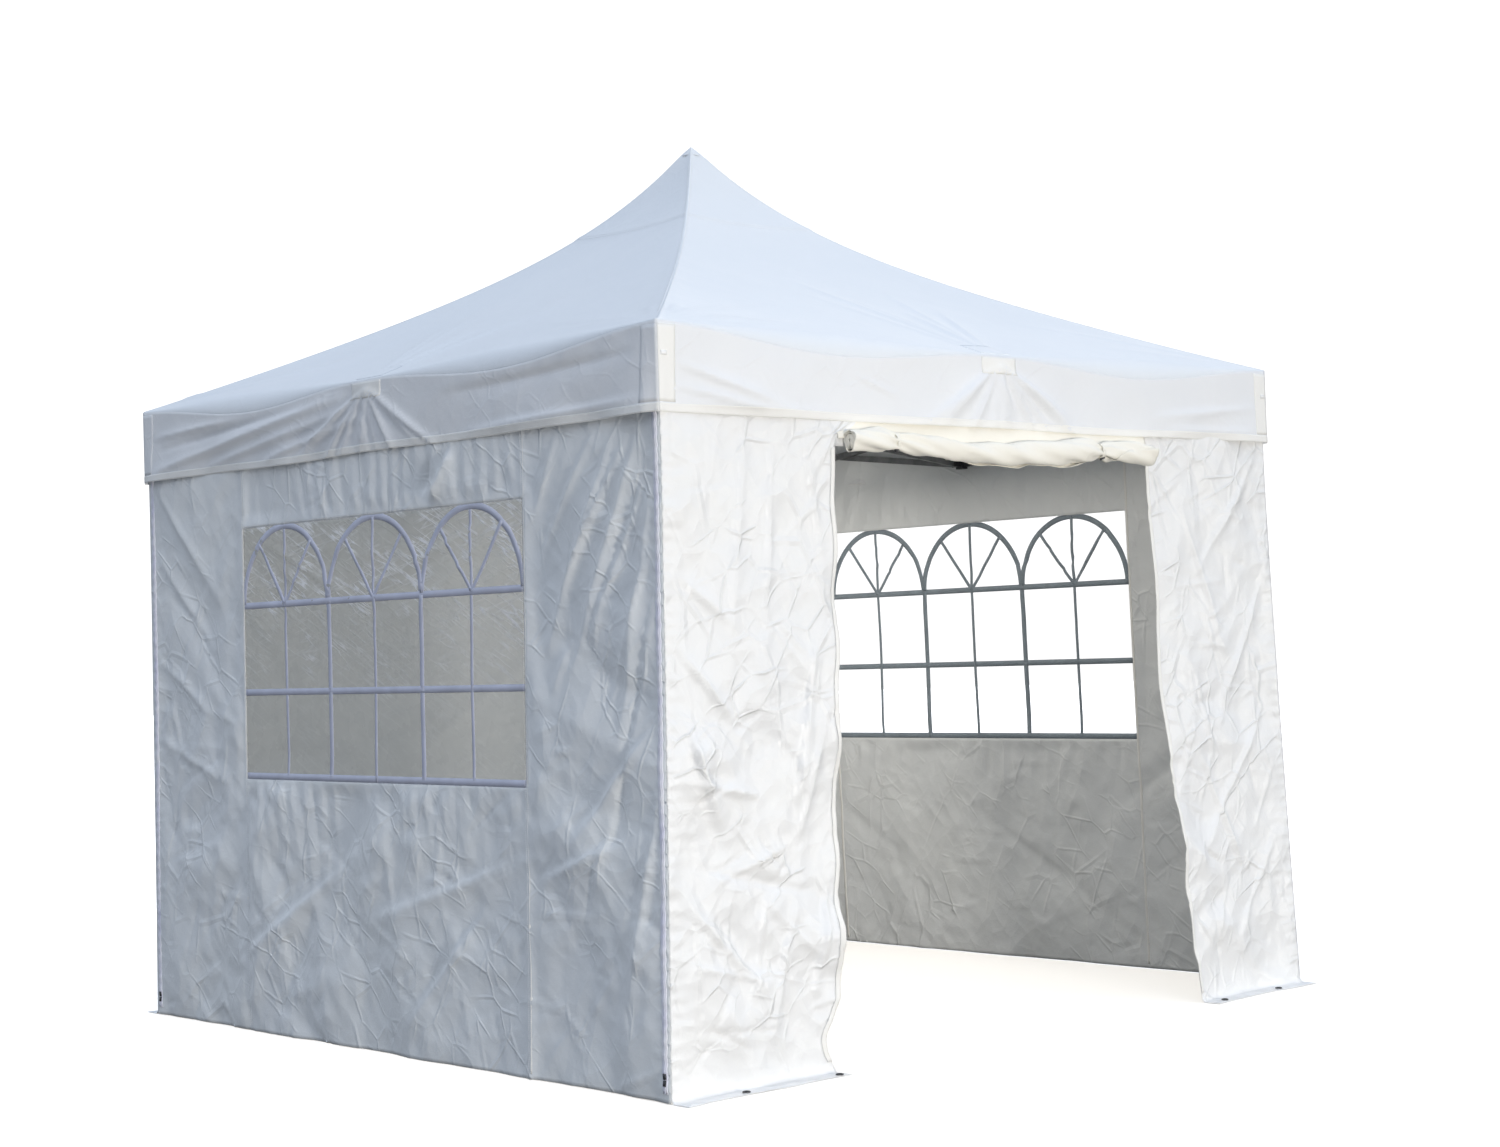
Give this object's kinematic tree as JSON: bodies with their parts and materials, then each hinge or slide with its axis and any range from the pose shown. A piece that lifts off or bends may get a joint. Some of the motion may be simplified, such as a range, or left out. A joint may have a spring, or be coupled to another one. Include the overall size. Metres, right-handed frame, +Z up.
{
  "type": "pop up gazebo",
  "caption": "Square pop up gazebo: folding scissor frame on telescopic legs, peaked canopy with skirt, windowed side walls and a wall with a rolled-up doorway.",
  "frame": {"origin": "on the ground under the peak, at the middle of the square that the walls enclose", "axes": "+Z up; -Y towards the doorway wall; +X to the right seen from outside the doorway; the windowed walls face -X and +X"},
  "size_m": [3, 3.142, 3.2079],
  "materials": {
    "frame_steel": "hammered powder coat, satin",
    "frame_plastic": "moulded nylon, matt",
    "canopy_cloth": "coated polyester, white, slight sheen",
    "wall_cloth": "coated polyester, white, crumpled, slight sheen",
    "door_cloth": "coated polyester, cream inner side, soft",
    "window_print": "bars printed on the film, matt",
    "zip_plastic": "moulded zip and tape, white",
    "bright_steel": "zinc plated, worn",
    "window_film": "clear PVC film, glossy"
  },
  "bodies": {
    "hub_upper": {"hub_upper": "frame_plastic"},
    "peak_pole": {"peak_pole": "frame_steel", "peak_cap": "frame_plastic"},
    "hub_bar_falling_front": {"hub_bar_falling_front": "frame_steel"},
    "lower_connector_front": {"lower_connector_front": "frame_plastic"},
    "hub_bar_rising_front": {"hub_bar_rising_front": "frame_steel"},
    "upper_connector_front": {"upper_connector_front": "frame_plastic", "wall_front": "wall_cloth", "door_roll": "door_cloth"},
    "hub_lower": {"hub_lower": "frame_plastic"},
    "canopy_front": {"canopy_front": "canopy_cloth"},
    "side_bar_rising_front_a": {"side_bar_rising_front_a": "frame_steel"},
    "side_bar_falling_front_a": {"side_bar_falling_front_a": "frame_steel"},
    "outer_leg_front_right": {"outer_leg_front_right": "frame_steel"},
    "slider_front_right": {"slider_front_right": "frame_plastic"},
    "inner_leg_front_right": {"inner_leg_front_right": "frame_steel"},
    "side_bar_rising_front_b": {"side_bar_rising_front_b": "frame_steel"},
    "side_bar_falling_front_b": {"side_bar_falling_front_b": "frame_steel"},
    "outer_leg_front_left": {"outer_leg_front_left": "frame_steel"},
    "slider_front_left": {"slider_front_left": "frame_plastic"},
    "inner_leg_front_left": {"inner_leg_front_left": "frame_steel"},
    "hub_bar_falling_right": {"hub_bar_falling_right": "frame_steel"},
    "lower_connector_right": {"lower_connector_right": "frame_plastic"},
    "hub_bar_rising_right": {"hub_bar_rising_right": "frame_steel"},
    "upper_connector_right": {"upper_connector_right": "frame_plastic", "wall_right": "wall_cloth", "window_right": "window_film"},
    "canopy_right": {"canopy_right": "canopy_cloth"},
    "side_bar_rising_right_a": {"side_bar_rising_right_a": "frame_steel"},
    "side_bar_falling_right_a": {"side_bar_falling_right_a": "frame_steel"},
    "side_bar_rising_right_b": {"side_bar_rising_right_b": "frame_steel"},
    "side_bar_falling_right_b": {"side_bar_falling_right_b": "frame_steel"},
    "hub_bar_falling_back": {"hub_bar_falling_back": "frame_steel"},
    "lower_connector_back": {"lower_connector_back": "frame_plastic"},
    "hub_bar_rising_back": {"hub_bar_rising_back": "frame_steel"},
    "upper_connector_back": {"upper_connector_back": "frame_plastic", "wall_back": "wall_cloth"},
    "canopy_back": {"canopy_back": "canopy_cloth"},
    "side_bar_rising_back_a": {"side_bar_rising_back_a": "frame_steel"},
    "side_bar_falling_back_a": {"side_bar_falling_back_a": "frame_steel"},
    "outer_leg_back_left": {"outer_leg_back_left": "frame_steel"},
    "slider_back_left": {"slider_back_left": "frame_plastic"},
    "inner_leg_back_left": {"inner_leg_back_left": "frame_steel"},
    "side_bar_rising_back_b": {"side_bar_rising_back_b": "frame_steel"},
    "side_bar_falling_back_b": {"side_bar_falling_back_b": "frame_steel"},
    "outer_leg_back_right": {"outer_leg_back_right": "frame_steel"},
    "slider_back_right": {"slider_back_right": "frame_plastic"},
    "inner_leg_back_right": {"inner_leg_back_right": "frame_steel"},
    "hub_bar_falling_left": {"hub_bar_falling_left": "frame_steel"},
    "lower_connector_left": {"lower_connector_left": "frame_plastic"},
    "hub_bar_rising_left": {"hub_bar_rising_left": "frame_steel"},
    "upper_connector_left": {"upper_connector_left": "frame_plastic", "wall_left": "wall_cloth", "window_left": "window_film"},
    "canopy_left": {"canopy_left": "canopy_cloth"},
    "side_bar_rising_left_a": {"side_bar_rising_left_a": "frame_steel"},
    "side_bar_falling_left_a": {"side_bar_falling_left_a": "frame_steel"},
    "side_bar_rising_left_b": {"side_bar_rising_left_b": "frame_steel"},
    "side_bar_falling_left_b": {"side_bar_falling_left_b": "frame_steel"}
  },
  "joints": [
    {"name": "fold", "type": "hinge", "parent": "hub_upper", "child": "hub_bar_falling_front", "pos_m": [0, -0.044, 2.215], "axis": [1, 0, 0], "range_deg": [0, 81], "deforming": ["canopy_front", "canopy_right", "canopy_back", "canopy_left", "wall_front", "wall_right", "wall_back", "wall_left", "window_left", "window_right", "door_roll"]},
    {"name": "lower_connector_front_pivot", "type": "hinge", "parent": "hub_bar_falling_front", "child": "lower_connector_front", "pos_m": [0, -1.419, 2.04617], "axis": [1, 0, 0], "range_deg": [-81, 0]},
    {"name": "hub_scissor_front_pivot", "type": "hinge", "parent": "hub_bar_falling_front", "child": "hub_bar_rising_front", "pos_m": [0, -0.7315, 2.13059], "axis": [1, 0, 0], "range_deg": [-162, 0]},
    {"name": "upper_connector_front_pivot", "type": "hinge", "parent": "hub_bar_rising_front", "child": "upper_connector_front", "pos_m": [0, -1.419, 2.215], "axis": [1, 0, 0], "range_deg": [0, 81]},
    {"name": "hub_lower_pivot", "type": "hinge", "parent": "hub_bar_rising_front", "child": "hub_lower", "pos_m": [0, -0.044, 2.04617], "axis": [1, 0, 0], "range_deg": [0, 81]},
    {"name": "canopy_front_fold", "type": "hinge", "parent": "upper_connector_front", "child": "canopy_front", "pos_m": [0, -1.5, 2.28], "axis": [-1, 0, 0], "range_deg": [0, 120]},
    {"name": "side_bar_rising_front_a_pivot", "type": "hinge", "parent": "lower_connector_front", "child": "side_bar_rising_front_a", "pos_m": [0.036, -1.455, 2.04617], "axis": [0, 1, 0], "range_deg": [-81, 0]},
    {"name": "side_bar_falling_front_a_pivot", "type": "hinge", "parent": "upper_connector_front", "child": "side_bar_falling_front_a", "pos_m": [0.036, -1.455, 2.215], "axis": [0, 1, 0], "range_deg": [0, 81]},
    {"name": "outer_leg_front_right_pivot", "type": "hinge", "parent": "side_bar_rising_front_a", "child": "outer_leg_front_right", "pos_m": [1.411, -1.455, 2.215], "axis": [0, 1, 0], "range_deg": [0, 81]},
    {"name": "slider_front_right_pivot", "type": "hinge", "parent": "side_bar_falling_front_a", "child": "slider_front_right", "pos_m": [1.411, -1.455, 2.04617], "axis": [0, 1, 0], "range_deg": [-81, 0]},
    {"name": "inner_leg_front_right_slide", "type": "slide", "parent": "outer_leg_front_right", "child": "inner_leg_front_right", "axis": [0, 0, 1], "range_m": [0, 0.5]},
    {"name": "side_bar_rising_front_b_pivot", "type": "hinge", "parent": "lower_connector_front", "child": "side_bar_rising_front_b", "pos_m": [-0.036, -1.455, 2.04617], "axis": [0, -1, 0], "range_deg": [-81, 0]},
    {"name": "side_bar_falling_front_b_pivot", "type": "hinge", "parent": "upper_connector_front", "child": "side_bar_falling_front_b", "pos_m": [-0.036, -1.455, 2.215], "axis": [0, -1, 0], "range_deg": [0, 81]},
    {"name": "outer_leg_front_left_pivot", "type": "hinge", "parent": "side_bar_rising_front_b", "child": "outer_leg_front_left", "pos_m": [-1.411, -1.455, 2.215], "axis": [0, -1, 0], "range_deg": [0, 81]},
    {"name": "slider_front_left_pivot", "type": "hinge", "parent": "side_bar_falling_front_b", "child": "slider_front_left", "pos_m": [-1.411, -1.455, 2.04617], "axis": [0, -1, 0], "range_deg": [-81, 0]},
    {"name": "inner_leg_front_left_slide", "type": "slide", "parent": "outer_leg_front_left", "child": "inner_leg_front_left", "axis": [0, 0, 1], "range_m": [0, 0.5]},
    {"name": "hub_bar_falling_right_pivot", "type": "hinge", "parent": "hub_upper", "child": "hub_bar_falling_right", "pos_m": [0.044, 0, 2.215], "axis": [0, 1, 0], "range_deg": [0, 81]},
    {"name": "lower_connector_right_pivot", "type": "hinge", "parent": "hub_bar_falling_right", "child": "lower_connector_right", "pos_m": [1.419, 0, 2.04617], "axis": [0, 1, 0], "range_deg": [-81, 0]},
    {"name": "hub_scissor_right_pivot", "type": "hinge", "parent": "hub_bar_falling_right", "child": "hub_bar_rising_right", "pos_m": [0.7315, 0, 2.13059], "axis": [0, 1, 0], "range_deg": [-162, 0]},
    {"name": "upper_connector_right_pivot", "type": "hinge", "parent": "hub_bar_rising_right", "child": "upper_connector_right", "pos_m": [1.419, 0, 2.215], "axis": [0, 1, 0], "range_deg": [0, 81]},
    {"name": "canopy_right_fold", "type": "hinge", "parent": "upper_connector_right", "child": "canopy_right", "pos_m": [1.5, 0, 2.28], "axis": [0, -1, 0], "range_deg": [0, 120]},
    {"name": "side_bar_rising_right_a_pivot", "type": "hinge", "parent": "lower_connector_right", "child": "side_bar_rising_right_a", "pos_m": [1.455, 0.036, 2.04617], "axis": [-1, 0, 0], "range_deg": [-81, 0]},
    {"name": "side_bar_falling_right_a_pivot", "type": "hinge", "parent": "upper_connector_right", "child": "side_bar_falling_right_a", "pos_m": [1.455, 0.036, 2.215], "axis": [-1, 0, 0], "range_deg": [0, 81]},
    {"name": "side_bar_rising_right_b_pivot", "type": "hinge", "parent": "lower_connector_right", "child": "side_bar_rising_right_b", "pos_m": [1.455, -0.036, 2.04617], "axis": [1, 0, 0], "range_deg": [-81, 0]},
    {"name": "side_bar_falling_right_b_pivot", "type": "hinge", "parent": "upper_connector_right", "child": "side_bar_falling_right_b", "pos_m": [1.455, -0.036, 2.215], "axis": [1, 0, 0], "range_deg": [0, 81]},
    {"name": "hub_bar_falling_back_pivot", "type": "hinge", "parent": "hub_upper", "child": "hub_bar_falling_back", "pos_m": [0, 0.044, 2.215], "axis": [-1, 0, 0], "range_deg": [0, 81]},
    {"name": "lower_connector_back_pivot", "type": "hinge", "parent": "hub_bar_falling_back", "child": "lower_connector_back", "pos_m": [0, 1.419, 2.04617], "axis": [-1, 0, 0], "range_deg": [-81, 0]},
    {"name": "hub_scissor_back_pivot", "type": "hinge", "parent": "hub_bar_falling_back", "child": "hub_bar_rising_back", "pos_m": [0, 0.7315, 2.13059], "axis": [-1, 0, 0], "range_deg": [-162, 0]},
    {"name": "upper_connector_back_pivot", "type": "hinge", "parent": "hub_bar_rising_back", "child": "upper_connector_back", "pos_m": [0, 1.419, 2.215], "axis": [-1, 0, 0], "range_deg": [0, 81]},
    {"name": "canopy_back_fold", "type": "hinge", "parent": "upper_connector_back", "child": "canopy_back", "pos_m": [0, 1.5, 2.28], "axis": [1, 0, 0], "range_deg": [0, 120]},
    {"name": "side_bar_rising_back_a_pivot", "type": "hinge", "parent": "lower_connector_back", "child": "side_bar_rising_back_a", "pos_m": [-0.036, 1.455, 2.04617], "axis": [0, -1, 0], "range_deg": [-81, 0]},
    {"name": "side_bar_falling_back_a_pivot", "type": "hinge", "parent": "upper_connector_back", "child": "side_bar_falling_back_a", "pos_m": [-0.036, 1.455, 2.215], "axis": [0, -1, 0], "range_deg": [0, 81]},
    {"name": "outer_leg_back_left_pivot", "type": "hinge", "parent": "side_bar_rising_back_a", "child": "outer_leg_back_left", "pos_m": [-1.411, 1.455, 2.215], "axis": [0, -1, 0], "range_deg": [0, 81]},
    {"name": "slider_back_left_pivot", "type": "hinge", "parent": "side_bar_falling_back_a", "child": "slider_back_left", "pos_m": [-1.411, 1.455, 2.04617], "axis": [0, -1, 0], "range_deg": [-81, 0]},
    {"name": "inner_leg_back_left_slide", "type": "slide", "parent": "outer_leg_back_left", "child": "inner_leg_back_left", "axis": [0, 0, 1], "range_m": [0, 0.5]},
    {"name": "side_bar_rising_back_b_pivot", "type": "hinge", "parent": "lower_connector_back", "child": "side_bar_rising_back_b", "pos_m": [0.036, 1.455, 2.04617], "axis": [0, 1, 0], "range_deg": [-81, 0]},
    {"name": "side_bar_falling_back_b_pivot", "type": "hinge", "parent": "upper_connector_back", "child": "side_bar_falling_back_b", "pos_m": [0.036, 1.455, 2.215], "axis": [0, 1, 0], "range_deg": [0, 81]},
    {"name": "outer_leg_back_right_pivot", "type": "hinge", "parent": "side_bar_rising_back_b", "child": "outer_leg_back_right", "pos_m": [1.411, 1.455, 2.215], "axis": [0, 1, 0], "range_deg": [0, 81]},
    {"name": "slider_back_right_pivot", "type": "hinge", "parent": "side_bar_falling_back_b", "child": "slider_back_right", "pos_m": [1.411, 1.455, 2.04617], "axis": [0, 1, 0], "range_deg": [-81, 0]},
    {"name": "inner_leg_back_right_slide", "type": "slide", "parent": "outer_leg_back_right", "child": "inner_leg_back_right", "axis": [0, 0, 1], "range_m": [0, 0.5]},
    {"name": "hub_bar_falling_left_pivot", "type": "hinge", "parent": "hub_upper", "child": "hub_bar_falling_left", "pos_m": [-0.044, 0, 2.215], "axis": [0, -1, 0], "range_deg": [0, 81]},
    {"name": "lower_connector_left_pivot", "type": "hinge", "parent": "hub_bar_falling_left", "child": "lower_connector_left", "pos_m": [-1.419, 0, 2.04617], "axis": [0, -1, 0], "range_deg": [-81, 0]},
    {"name": "hub_scissor_left_pivot", "type": "hinge", "parent": "hub_bar_falling_left", "child": "hub_bar_rising_left", "pos_m": [-0.7315, 0, 2.13059], "axis": [0, -1, 0], "range_deg": [-162, 0]},
    {"name": "upper_connector_left_pivot", "type": "hinge", "parent": "hub_bar_rising_left", "child": "upper_connector_left", "pos_m": [-1.419, 0, 2.215], "axis": [0, -1, 0], "range_deg": [0, 81]},
    {"name": "canopy_left_fold", "type": "hinge", "parent": "upper_connector_left", "child": "canopy_left", "pos_m": [-1.5, 0, 2.28], "axis": [0, 1, 0], "range_deg": [0, 120]},
    {"name": "side_bar_rising_left_a_pivot", "type": "hinge", "parent": "lower_connector_left", "child": "side_bar_rising_left_a", "pos_m": [-1.455, -0.036, 2.04617], "axis": [1, 0, 0], "range_deg": [-81, 0]},
    {"name": "side_bar_falling_left_a_pivot", "type": "hinge", "parent": "upper_connector_left", "child": "side_bar_falling_left_a", "pos_m": [-1.455, -0.036, 2.215], "axis": [1, 0, 0], "range_deg": [0, 81]},
    {"name": "side_bar_rising_left_b_pivot", "type": "hinge", "parent": "lower_connector_left", "child": "side_bar_rising_left_b", "pos_m": [-1.455, 0.036, 2.04617], "axis": [-1, 0, 0], "range_deg": [-81, 0]},
    {"name": "side_bar_falling_left_b_pivot", "type": "hinge", "parent": "upper_connector_left", "child": "side_bar_falling_left_b", "pos_m": [-1.455, 0.036, 2.215], "axis": [-1, 0, 0], "range_deg": [0, 81]},
    {"name": "peak_pole_slide", "type": "slide", "parent": "hub_upper", "child": "peak_pole", "axis": [0, 0, 1], "range_m": [-0.881, 0]}
  ],
  "couplings": [
    {"joint": "lower_connector_front_pivot", "follows": "fold", "ratio": -1},
    {"joint": "hub_scissor_front_pivot", "follows": "fold", "ratio": -2},
    {"joint": "upper_connector_front_pivot", "follows": "fold", "ratio": 1},
    {"joint": "hub_lower_pivot", "follows": "fold", "ratio": 1},
    {"joint": "canopy_front_fold", "follows": "fold", "ratio": 1.4815},
    {"joint": "side_bar_rising_front_a_pivot", "follows": "fold", "ratio": -1},
    {"joint": "side_bar_falling_front_a_pivot", "follows": "fold", "ratio": 1},
    {"joint": "outer_leg_front_right_pivot", "follows": "fold", "ratio": 1},
    {"joint": "slider_front_right_pivot", "follows": "fold", "ratio": -1},
    {"joint": "side_bar_rising_front_b_pivot", "follows": "fold", "ratio": -1},
    {"joint": "side_bar_falling_front_b_pivot", "follows": "fold", "ratio": 1},
    {"joint": "outer_leg_front_left_pivot", "follows": "fold", "ratio": 1},
    {"joint": "slider_front_left_pivot", "follows": "fold", "ratio": -1},
    {"joint": "hub_bar_falling_right_pivot", "follows": "fold", "ratio": 1},
    {"joint": "lower_connector_right_pivot", "follows": "fold", "ratio": -1},
    {"joint": "hub_scissor_right_pivot", "follows": "fold", "ratio": -2},
    {"joint": "upper_connector_right_pivot", "follows": "fold", "ratio": 1},
    {"joint": "canopy_right_fold", "follows": "fold", "ratio": 1.4815},
    {"joint": "side_bar_rising_right_a_pivot", "follows": "fold", "ratio": -1},
    {"joint": "side_bar_falling_right_a_pivot", "follows": "fold", "ratio": 1},
    {"joint": "side_bar_rising_right_b_pivot", "follows": "fold", "ratio": -1},
    {"joint": "side_bar_falling_right_b_pivot", "follows": "fold", "ratio": 1},
    {"joint": "hub_bar_falling_back_pivot", "follows": "fold", "ratio": 1},
    {"joint": "lower_connector_back_pivot", "follows": "fold", "ratio": -1},
    {"joint": "hub_scissor_back_pivot", "follows": "fold", "ratio": -2},
    {"joint": "upper_connector_back_pivot", "follows": "fold", "ratio": 1},
    {"joint": "canopy_back_fold", "follows": "fold", "ratio": 1.4815},
    {"joint": "side_bar_rising_back_a_pivot", "follows": "fold", "ratio": -1},
    {"joint": "side_bar_falling_back_a_pivot", "follows": "fold", "ratio": 1},
    {"joint": "outer_leg_back_left_pivot", "follows": "fold", "ratio": 1},
    {"joint": "slider_back_left_pivot", "follows": "fold", "ratio": -1},
    {"joint": "side_bar_rising_back_b_pivot", "follows": "fold", "ratio": -1},
    {"joint": "side_bar_falling_back_b_pivot", "follows": "fold", "ratio": 1},
    {"joint": "outer_leg_back_right_pivot", "follows": "fold", "ratio": 1},
    {"joint": "slider_back_right_pivot", "follows": "fold", "ratio": -1},
    {"joint": "hub_bar_falling_left_pivot", "follows": "fold", "ratio": 1},
    {"joint": "lower_connector_left_pivot", "follows": "fold", "ratio": -1},
    {"joint": "hub_scissor_left_pivot", "follows": "fold", "ratio": -2},
    {"joint": "upper_connector_left_pivot", "follows": "fold", "ratio": 1},
    {"joint": "canopy_left_fold", "follows": "fold", "ratio": 1.4815},
    {"joint": "side_bar_rising_left_a_pivot", "follows": "fold", "ratio": -1},
    {"joint": "side_bar_falling_left_a_pivot", "follows": "fold", "ratio": 1},
    {"joint": "side_bar_rising_left_b_pivot", "follows": "fold", "ratio": -1},
    {"joint": "side_bar_falling_left_b_pivot", "follows": "fold", "ratio": 1},
    {"joint": "peak_pole_slide", "follows": "fold", "m_per_rad": -0.62247}
  ]
}
